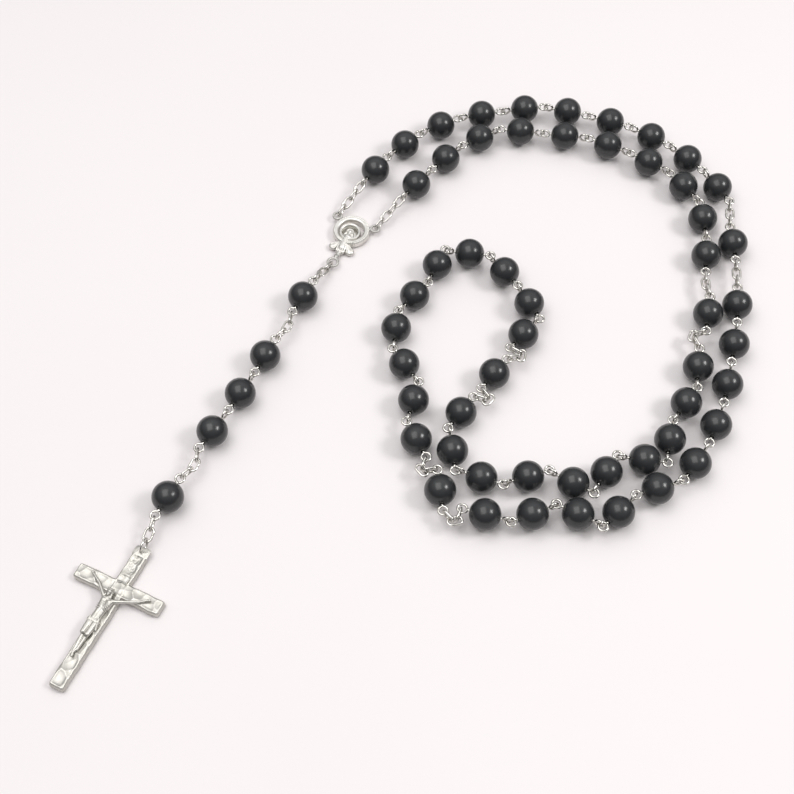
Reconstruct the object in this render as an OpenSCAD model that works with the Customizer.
// Five-decade rosary laid out flat: bored round beads on eye pins, wire links,
// a three-way centre medal and a crucifix with a relief figure.
// Millimetres, +Z up. The beads stand on z = 0 and their pins lie one bead radius above it.

/* [Beads] */
// Diameter of every bead
bead_d = 8.6; // [8.4:0.1:8.8]
// Diameter of the bore through a bead
bore_d = 0.85; // [0.8:0.01:0.9]
// Diameter of the dimple at each end of the bore
dimple_d = 1.4; // [1.2:0.1:1.8]

/* [Wire] */
// Diameter of the wire of pins, links and rings
wire_d = 0.7; // [0.65:0.01:0.72]
// Clearance between two wires that hook into each other
play = 0.14; // [0.1:0.01:0.16]
// Outer diameter of the eye at each end of a pin
eye_d = 3.2; // [3.1:0.1:3.4]
// Distance from a bead's surface to the near wire of its eye
neck = 0.6; // [0.55:0.05:0.7]

/* [Links] */
// Outer length of an oval link
link_l = 4.6; // [4.4:0.1:4.7]
// Outer width of an oval link
link_w = 2.9; // [2.8:0.1:3]
// Outer diameter of the round ring that carries the crucifix
ring_d = 4.6; // [4.4:0.1:4.8]

/* [Centre medal] */
// Outer diameter of the medal's ring
medal_d = 11; // [10:0.5:12]
// Width of the ring's rim, seen from above
medal_rim = 1.7; // [1.4:0.1:2]
// Thickness of the medal
medal_t = 2.2; // [2:0.1:2.6]
// Diameter of the small halo ring inside the medal
halo_d = 6.4; // [6:0.1:6.8]
// Diameter of the wire of the medal's three loops
loop_wire = 0.8; // [0.7:0.05:0.9]
// Outer diameter of the medal's two upper loops
loop_d = 3.2; // [3:0.1:3.4]
// Outer diameter of the medal's lower loop
lower_loop_d = 3.8; // [3.6:0.1:4]

/* [Crucifix] */
// Length of the upright
cross_l = 42; // [40:1:46]
// Length of the cross bar
cross_w = 25.5; // [24:0.5:27]
// Width of both bars
bar_w = 4.4; // [4:0.1:5]
// Thickness of both bars
bar_t = 2.2; // [2:0.1:2.4]
// Distance from the top of the upright to the middle of the cross bar
cross_drop = 12.8; // [12:0.2:14]
// Diameter of the hole for the ring
cross_hole = 1.4; // [1.3:0.1:1.5]

/* [Hidden] */
$fn = 48;

bead_r = bead_d / 2;
wire_r = wire_d / 2;
eye_r = (eye_d - wire_d) / 2;
eye_at = bead_r + neck + eye_r;
link_half = (link_l - wire_d) / 2;
link_end_r = (link_w - wire_d) / 2;
ring_r = (ring_d - wire_d) / 2;
loop_r = (loop_d - loop_wire) / 2;
lower_loop_r = (lower_loop_d - loop_wire) / 2;
hook = wire_d + play;

// Two rings that hook into each other stand at right angles, one flat and one upright. They
// turn about the end wire of the upright one, so that wire's middle is the pivot between them.
upright_reach = eye_at + eye_r;
flat_reach = eye_at + eye_r - hook;
// How far the pivot sits back from taut in the slack eyes at both ends of a run of beads
end_slack = 0.2;
upright_link = 2 * link_half;
flat_link = 2 * (link_half - hook);
shortest_flat = hook + 0.02;

/* ---- Layout, seen from above. Every point is a pivot, every angle the heading of a pin. ---- */
// The layout's numbers count from the first place of the medal, and this puts the origin
// under the middle of the whole object
origin_shift = [-23.2, 45.6, 0];
medal_at = [0.1, 0.2];
// Direction from the medal's middle to its top
medal_up = 66;
// Angle of the two upper loops to either side of the top
loop_spread = 60;
upper_loop_at = medal_d / 2 + loop_r + 0.5;
lower_loop_at = 13;
loop_z = 1.45;

// Each run of beads: where its first pivot lies, the headings of its pins,
// and how far each eye sits back from taut
decades = [
    [[3, 15.9], [55, 43, 28, 12, 8, -16, -20, -34, -48, -62], 0],
    [[113, -22.9], [-98, -104, -106, -114, -126, -162, -136, -208, -158, -196],
        [0, 0, 0, 0, 0, 0.6, 0.8, 0.8, 0.8, 0]],
    [[21.8, -79.6], [115, 76, 122, 84, 50, 66, -8, -54, -64, -130], 0.8],
    [[35.2, -60.3], [-126, -84, -20, 18, -30, 56, -8, 76, 54, 80], 0.8],
    [[104.4, -17.5], [82, 92, 124, 145, 154, 172, 172, 210, 226, 231], 0]
];
// The single beads between the decades: first pivot and heading
singles = [
    [[113.8, -0.4], -90],
    [[26, -95.8], 96],
    [[45, -47.8], -128],
    [[102, -38.5], 78]
];
// Side to which a slack chain of links bows out, 1 is to the left of its direction
chain_bow = [1, 1, 1, 1, 1, 1, 1, 1, 1, 1];

// Pendant headings: links, beads and crucifix in their order below the medal
pendant_heads = [-121, -121, -121, -117, -100, -112, -132, -115, -118, -121,
                 -94, -112, -136, -117, -104, -110, -110];
cross_heading = -116;

function toward(heading, pitch = 0) =
    [cos(heading) * cos(pitch), sin(heading) * cos(pitch), sin(pitch)];
function heading_of(v) = atan2(v[1], v[0]);
function pitch_of(v) = atan2(v[2], norm([v[0], v[1]]));
function on_table(p) = [p[0], p[1], bead_r] + origin_shift;

// A run of pins: every eye but the first is upright where it begins and flat where it ends,
// and the first pin of decade 1 begins upright, as the last pin of decade 5 ends
function begins_flat(k, i) = i == 0 && k != 0;
function ends_flat(k, i) = !(k == 4 && i == 9);
function near_reach(k, i) = begins_flat(k, i) ? flat_reach - end_slack : upright_reach;
function slack_after(k, i) = is_list(decades[k][2]) ? decades[k][2][i] : decades[k][2];
function far_reach(k, i) =
    !ends_flat(k, i) ? upright_reach :
    i == 9 ? flat_reach - end_slack :
    flat_reach - slack_after(k, i);
function run_from(k, p, i = 0) =
    i == 10 ? [p] :
    concat([p], run_from(k, p + (near_reach(k, i) + far_reach(k, i)) * toward(decades[k][1][i]), i + 1));
runs = [for (k = [0:4]) run_from(k, on_table(decades[k][0]))];
function decade_bead(k, i) = runs[k][i] + near_reach(k, i) * toward(decades[k][1][i]);

single_reach = flat_reach - end_slack;
function single_pivot(k) = on_table(singles[k][0]);
function single_bead_at(k) = single_pivot(k) + single_reach * toward(singles[k][1]);
function single_end(k) = single_pivot(k) + 2 * single_reach * toward(singles[k][1]);

medal_middle = [medal_at[0], medal_at[1], 0] + origin_shift;
function loop_middle(angle, out) = medal_middle + [out * cos(angle), out * sin(angle), loop_z];
left_loop = loop_middle(medal_up + loop_spread, upper_loop_at);
right_loop = loop_middle(medal_up - loop_spread, upper_loop_at);
lower_loop = loop_middle(medal_up + 180, lower_loop_at);
reach_of_loop = -(wire_d + loop_wire) / 2 - play - 0.08;
loop_reach = loop_r + reach_of_loop;
lower_reach = lower_loop_r + reach_of_loop;
// Pivot inside a loop, on the side that faces another point
function pivot_in(loop, other) =
    loop + loop_reach * toward(heading_of(other - loop));

// A chain of links between two pivots. Slack is first taken up inside the flat links, and what
// is left by a bow of the upright ones.
function chain_points(a, b, bow) =
    let (d = norm(b - a), f = max(shortest_flat, min(flat_link, d - 2 * upright_link)),
         lean = acos(min(1, (d - f) / (2 * upright_link))), h = heading_of(b - a), t = pitch_of(b - a))
    [a, a + upright_link * toward(h + bow * lean, t), b - upright_link * toward(h - bow * lean, t), b];
function straight_points(a, b) =
    let (d = norm(b - a), f = min(flat_link, (d - 2 * upright_link) / 2), s = (b - a) / d)
    [a, a + upright_link * s, a + (upright_link + f) * s, b - f * s, b];
function ends_of(k) =
    k == 0 ? [pivot_in(left_loop, runs[0][0]), runs[0][0]] :
    k == 9 ? [pivot_in(right_loop, runs[4][10]), runs[4][10]] :
    k % 2 == 1 ? [runs[(k - 1) / 2][10], single_pivot((k - 1) / 2)] :
    [single_end(k / 2 - 1), runs[k / 2][0]];
function chain(k) =
    k == 0 || k == 9 ? straight_points(ends_of(k)[0], ends_of(k)[1]) :
    chain_points(ends_of(k)[0], ends_of(k)[1], chain_bow[k]);

// The pendant: every piece hangs on the one before it. Each row says whether the piece is a
// pin or a link, whether its first ring is flat, and whether its last one is.
pendant_kinds = [
    ["link", false, false], ["link", true, true], ["link", false, false],
    ["pin", true, true],
    ["link", false, false], ["link", true, true], ["link", false, false],
    ["pin", true, true], ["pin", false, true], ["pin", false, true],
    ["link", false, false], ["link", true, true], ["link", false, false],
    ["pin", true, true],
    ["link", false, false], ["link", true, true],
    ["ring", false, false]
];
function near_half(row) =
    row[0] == "pin" ? (row[1] ? flat_reach : upright_reach) :
    row[0] == "ring" ? ring_r : row[1] ? flat_link / 2 : link_half;
function far_half(row) =
    row[0] == "pin" ? (row[2] ? flat_reach : upright_reach) :
    row[0] == "ring" ? ring_r : row[2] ? flat_link / 2 : link_half;
// The chain rises from the medal to the first bead, and falls from the last one to the crucifix
// The first link sits this far below the middle of its loop, and so clears it on the slope
dip = 0.12;
climb = asin((bead_r - loop_z + dip) / (2 * upright_link + flat_link));
hole_z = 1.9;
fall = -asin((bead_r - hole_z) / (upright_link + flat_link + 2 * ring_r));
function pendant_pitch(i) = i < 3 ? climb : i > 13 ? fall : 0;
function pendant_from(p, i = 0) =
    i == len(pendant_kinds) ? [p] :
    concat([p], pendant_from(p + (near_half(pendant_kinds[i]) + far_half(pendant_kinds[i]))
                                 * toward(pendant_heads[i], pendant_pitch(i)), i + 1));
pendant = pendant_from(lower_loop + lower_reach * toward(pendant_heads[0]) - [0, 0, dip]);
function pendant_middle(i) =
    pendant[i] + near_half(pendant_kinds[i]) * toward(pendant_heads[i], pendant_pitch(i));
// Rows of pendant_kinds that are links, and rows that are pins
link_rows = [0, 1, 2, 4, 5, 6, 10, 11, 12, 14, 15];
pin_rows = [3, 7, 8, 9, 13];
hole_at = [pendant[17][0], pendant[17][1], 0];
hole_from_top = 1.75;
thinned_to = 1.4;

/* ---- Shapes. A piece is made along +X and then laid along its heading. ---- */
module along(at, heading, pitch = 0)
    translate(at) rotate([0, -pitch, heading]) children();

module torus(r, d)
    rotate_extrude($fn = 64) translate([r, 0]) circle(d = d, $fn = 24);

module rod(x0, x1, d)
    translate([x0, 0, 0]) rotate([0, 90, 0]) cylinder(h = x1 - x0, d = d, $fn = 24);

module black_glass()
    color([0.05, 0.05, 0.06]) children();

module silver()
    color([0.8, 0.81, 0.82]) children();

// Ball with a bore and a dimple at each end, turned about +X
module bead_shape()
    rotate([0, 90, 0]) rotate_extrude($fn = 96) difference() {
        circle(d = bead_d, $fn = 96);
        translate([-bead_d, -bead_d]) square([bead_d + bore_d / 2, 2 * bead_d]);
        for (side = [-1, 1])
            translate([0, side * (bead_r + 0.15)]) circle(d = dimple_d, $fn = 32);
    }

module ring_plane(flat)
    rotate([flat ? 0 : 90, 0, 0]) children();

// Eye pin: a straight wire through the bead with a round eye at each end
module pin_shape(first_flat, last_flat) {
    rod(-(eye_at - eye_r), eye_at - eye_r, wire_d);
    translate([-eye_at, 0, 0]) ring_plane(first_flat) torus(eye_r, wire_d);
    translate([eye_at, 0, 0]) ring_plane(last_flat) torus(eye_r, wire_d);
}

// Oval link: two half rings joined by two straight wires
module link_shape(flat) {
    straight = link_half - link_end_r;
    ring_plane(flat) {
        for (side = [0, 180])
            rotate([0, 0, side]) translate([straight, 0, 0]) rotate([0, 0, -90])
                rotate_extrude(angle = 180, $fn = 48)
                    translate([link_end_r, 0]) circle(d = wire_d, $fn = 24);
        for (y = [-link_end_r, link_end_r])
            translate([0, y, 0]) rod(-straight, straight, wire_d);
    }
}

/* ---- Loop ---- */
module decade_beads(k)
    black_glass() for (i = [0:9])
        along(decade_bead(k, i), decades[k][1][i]) bead_shape();

module decade_pins(k)
    silver() for (i = [0:9])
        along(decade_bead(k, i), decades[k][1][i]) pin_shape(begins_flat(k, i), ends_flat(k, i));

module single_bead(k)
    black_glass() along(single_bead_at(k), singles[k][1]) bead_shape();

module single_pin(k)
    silver() along(single_bead_at(k), singles[k][1]) pin_shape(true, true);

// Links of a chain alternate, upright first, except that the two chains at the medal
// begin upright in its flat loop as well
module chain_links(k) {
    points = chain(k);
    silver() for (i = [0:len(points) - 2]) {
        step = points[i + 1] - points[i];
        along((points[i] + points[i + 1]) / 2, heading_of(step), pitch_of(step))
            link_shape(i % 2 == 1);
    }
}

/* ---- Centre medal ---- */
module medal_lobe(out, side, d, h)
    translate([-out, side, 0]) intersection() {
        cylinder(h = h, d = d);
        translate([0, 0, h - d]) sphere(d = 2 * d, $fn = 64);
    }

module medal_ring(d, rim, t)
    rotate_extrude($fn = 96) translate([d / 2 - rim, 0]) {
        square([rim, t - rim / 2]);
        translate([rim / 2, t - rim / 2]) circle(d = rim, $fn = 32);
    }

module medal_loop(angle, out, r)
    rotate([0, 0, angle]) translate([out, 0, loop_z]) torus(r, loop_wire);

// Tab that joins a loop to the body of the medal
module medal_tab(angle, from, to)
    rotate([0, 0, angle]) translate([from, -0.7, 0.6]) cube([to - from, 1.4, 1.3]);

module medal_bust() {
    translate([-0.9, 0, 0.9]) sphere(d = 2.6);
    translate([-2.4, 0, 0]) cylinder(h = 1.5, d = 3.4);
}

module centre_medal()
    silver() translate(medal_middle) rotate([0, 0, medal_up]) {
        medal_ring(medal_d, medal_rim, medal_t);
        translate([-0.9, 0, 0]) {
            medal_ring(halo_d, 0.9, medal_t + 0.2);
            cylinder(h = 0.7, d = halo_d - 1);
        }
        translate([-3.8, -2.2, 0]) cube([1.6, 4.4, 1.2]);
        medal_bust();
        medal_lobe(6.6, 0, 5, 2.1);
        medal_lobe(7.6, -2.6, 3.6, 1.9);
        medal_lobe(7.6, 2.6, 3.6, 1.9);
        medal_lobe(9.2, 0, 3.6, 1.9);
        for (side = [-1, 1]) {
            medal_loop(side * loop_spread, upper_loop_at, loop_r);
            medal_tab(side * loop_spread, medal_d / 2 - 0.6, upper_loop_at - loop_r + 0.1);
        }
        medal_loop(180, lower_loop_at, lower_loop_r);
        medal_tab(180, lower_loop_at - lower_loop_r - 1.2, lower_loop_at - lower_loop_r + 0.1);
    }

/* ---- Pendant ---- */
module pendant_bead(n)
    black_glass() along(pendant_middle(pin_rows[n]), pendant_heads[pin_rows[n]]) bead_shape();

module pendant_pin(n) {
    row = pin_rows[n];
    silver() along(pendant_middle(row), pendant_heads[row])
        pin_shape(pendant_kinds[row][1], pendant_kinds[row][2]);
}

module pendant_link(n) {
    row = link_rows[n];
    silver() along(pendant_middle(row), pendant_heads[row], pendant_pitch(row))
        link_shape(pendant_kinds[row][1]);
}

module crucifix_ring()
    silver() along(pendant_middle(16), pendant_heads[16], pendant_pitch(16))
        ring_plane(false) torus(ring_r, wire_d);

/* ---- Crucifix, made with its upright along +X from the hole ---- */
module on_cross()
    along(hole_at, cross_heading) translate([-hole_from_top, 0, 0]) children();

// One bar with chamfered upper edges
module bar(l, w, t) {
    chamfer = 0.4;
    rotate([90, 0, 90]) linear_extrude(l)
        polygon([[-w / 2, 0], [w / 2, 0], [w / 2, t - chamfer], [w / 2 - chamfer, t],
                 [chamfer - w / 2, t], [-w / 2, t - chamfer]]);
}

module crucifix()
    silver() on_cross() difference() {
        union() {
            bar(cross_l, bar_w, bar_t);
            translate([cross_drop, -cross_w / 2, 0]) rotate([0, 0, 90]) bar(cross_w, bar_w, bar_t);
        }
        translate([hole_from_top, 0, -1]) cylinder(h = bar_t + 2, d = cross_hole);
        // The top is thinned from behind where the ring passes under it
        translate([-1, -bar_w, -1]) cube([hole_from_top + 2.4, 2 * bar_w, 1 + thinned_to]);
    }

// A limb of the figure: a round bar with round ends between two points of the relief
module limb(a, b, d) {
    v = b - a;
    along(a, heading_of(v), pitch_of(v)) {
        sphere(d = d, $fn = 32);
        rod(0, norm(v), d);
        translate([norm(v), 0, 0]) sphere(d = d, $fn = 32);
    }
}

module corpus()
    silver() on_cross() intersection() {
        translate([0, -cross_w / 2, bar_t]) cube([cross_l, cross_w, 4]);
        translate([cross_drop, 0, bar_t]) union() {
            translate([2.1, -1.1, 0.8]) sphere(d = 2.1, $fn = 32);
            limb([2.1, -1.1, 0.8], [4.2, -0.3, 0.3], 1.2);
            for (side = [-1, 1]) {
                limb([3.9, side * 1.5, 0.1], [1.6, side * 4.6, 0.1], 1.1);
                limb([1.6, side * 4.6, 0.1], [-1, side * 8, 0.1], 0.8);
                limb([10.2, side * 0.7 - 0.4, 0.3], [13.4, side * 0.7 - 1, 0.6], 1.6);
                limb([13.4, side * 0.7 - 1, 0.6], [18.6, side * 0.3 - 0.3, 0.1], 1.1);
            }
            limb([4.3, -1, 0.1], [4.3, 1, 0.1], 1.8);
            limb([4.8, 0, 0.2], [9, -0.4, 0.1], 2.7);
            limb([9.4, -1.1, 0.1], [9.6, 0.5, 0.1], 2.3);
        }
    }

module title_plate()
    silver() on_cross() translate([7.2, -1.4, bar_t]) cube([2.8, 2.8, 0.5]);

/* ---- Nodes ---- */
centre_medal();
decade_beads(0);  // decade_1_beads
decade_beads(1);  // decade_2_beads
decade_beads(2);  // decade_3_beads
decade_beads(3);  // decade_4_beads
decade_beads(4);  // decade_5_beads
decade_pins(0);  // decade_1_pins
decade_pins(1);  // decade_2_pins
decade_pins(2);  // decade_3_pins
decade_pins(3);  // decade_4_pins
decade_pins(4);  // decade_5_pins
single_bead(0);  // single_1_bead
single_bead(1);  // single_2_bead
single_bead(2);  // single_3_bead
single_bead(3);  // single_4_bead
single_pin(0);  // single_1_pin
single_pin(1);  // single_2_pin
single_pin(2);  // single_3_pin
single_pin(3);  // single_4_pin
chain_links(0);  // chain_1
chain_links(1);  // chain_2
chain_links(2);  // chain_3
chain_links(3);  // chain_4
chain_links(4);  // chain_5
chain_links(5);  // chain_6
chain_links(6);  // chain_7
chain_links(7);  // chain_8
chain_links(8);  // chain_9
chain_links(9);  // chain_10
pendant_bead(0);  // pendant_bead_1
pendant_bead(1);  // pendant_bead_2
pendant_bead(2);  // pendant_bead_3
pendant_bead(3);  // pendant_bead_4
pendant_bead(4);  // pendant_bead_5
pendant_pin(0);  // pendant_pin_1
pendant_pin(1);  // pendant_pin_2
pendant_pin(2);  // pendant_pin_3
pendant_pin(3);  // pendant_pin_4
pendant_pin(4);  // pendant_pin_5
pendant_link(0);  // pendant_link_1
pendant_link(1);  // pendant_link_2
pendant_link(2);  // pendant_link_3
pendant_link(3);  // pendant_link_4
pendant_link(4);  // pendant_link_5
pendant_link(5);  // pendant_link_6
pendant_link(6);  // pendant_link_7
pendant_link(7);  // pendant_link_8
pendant_link(8);  // pendant_link_9
pendant_link(9);  // pendant_link_10
pendant_link(10);  // pendant_link_11
crucifix_ring();
crucifix();
corpus();
title_plate();
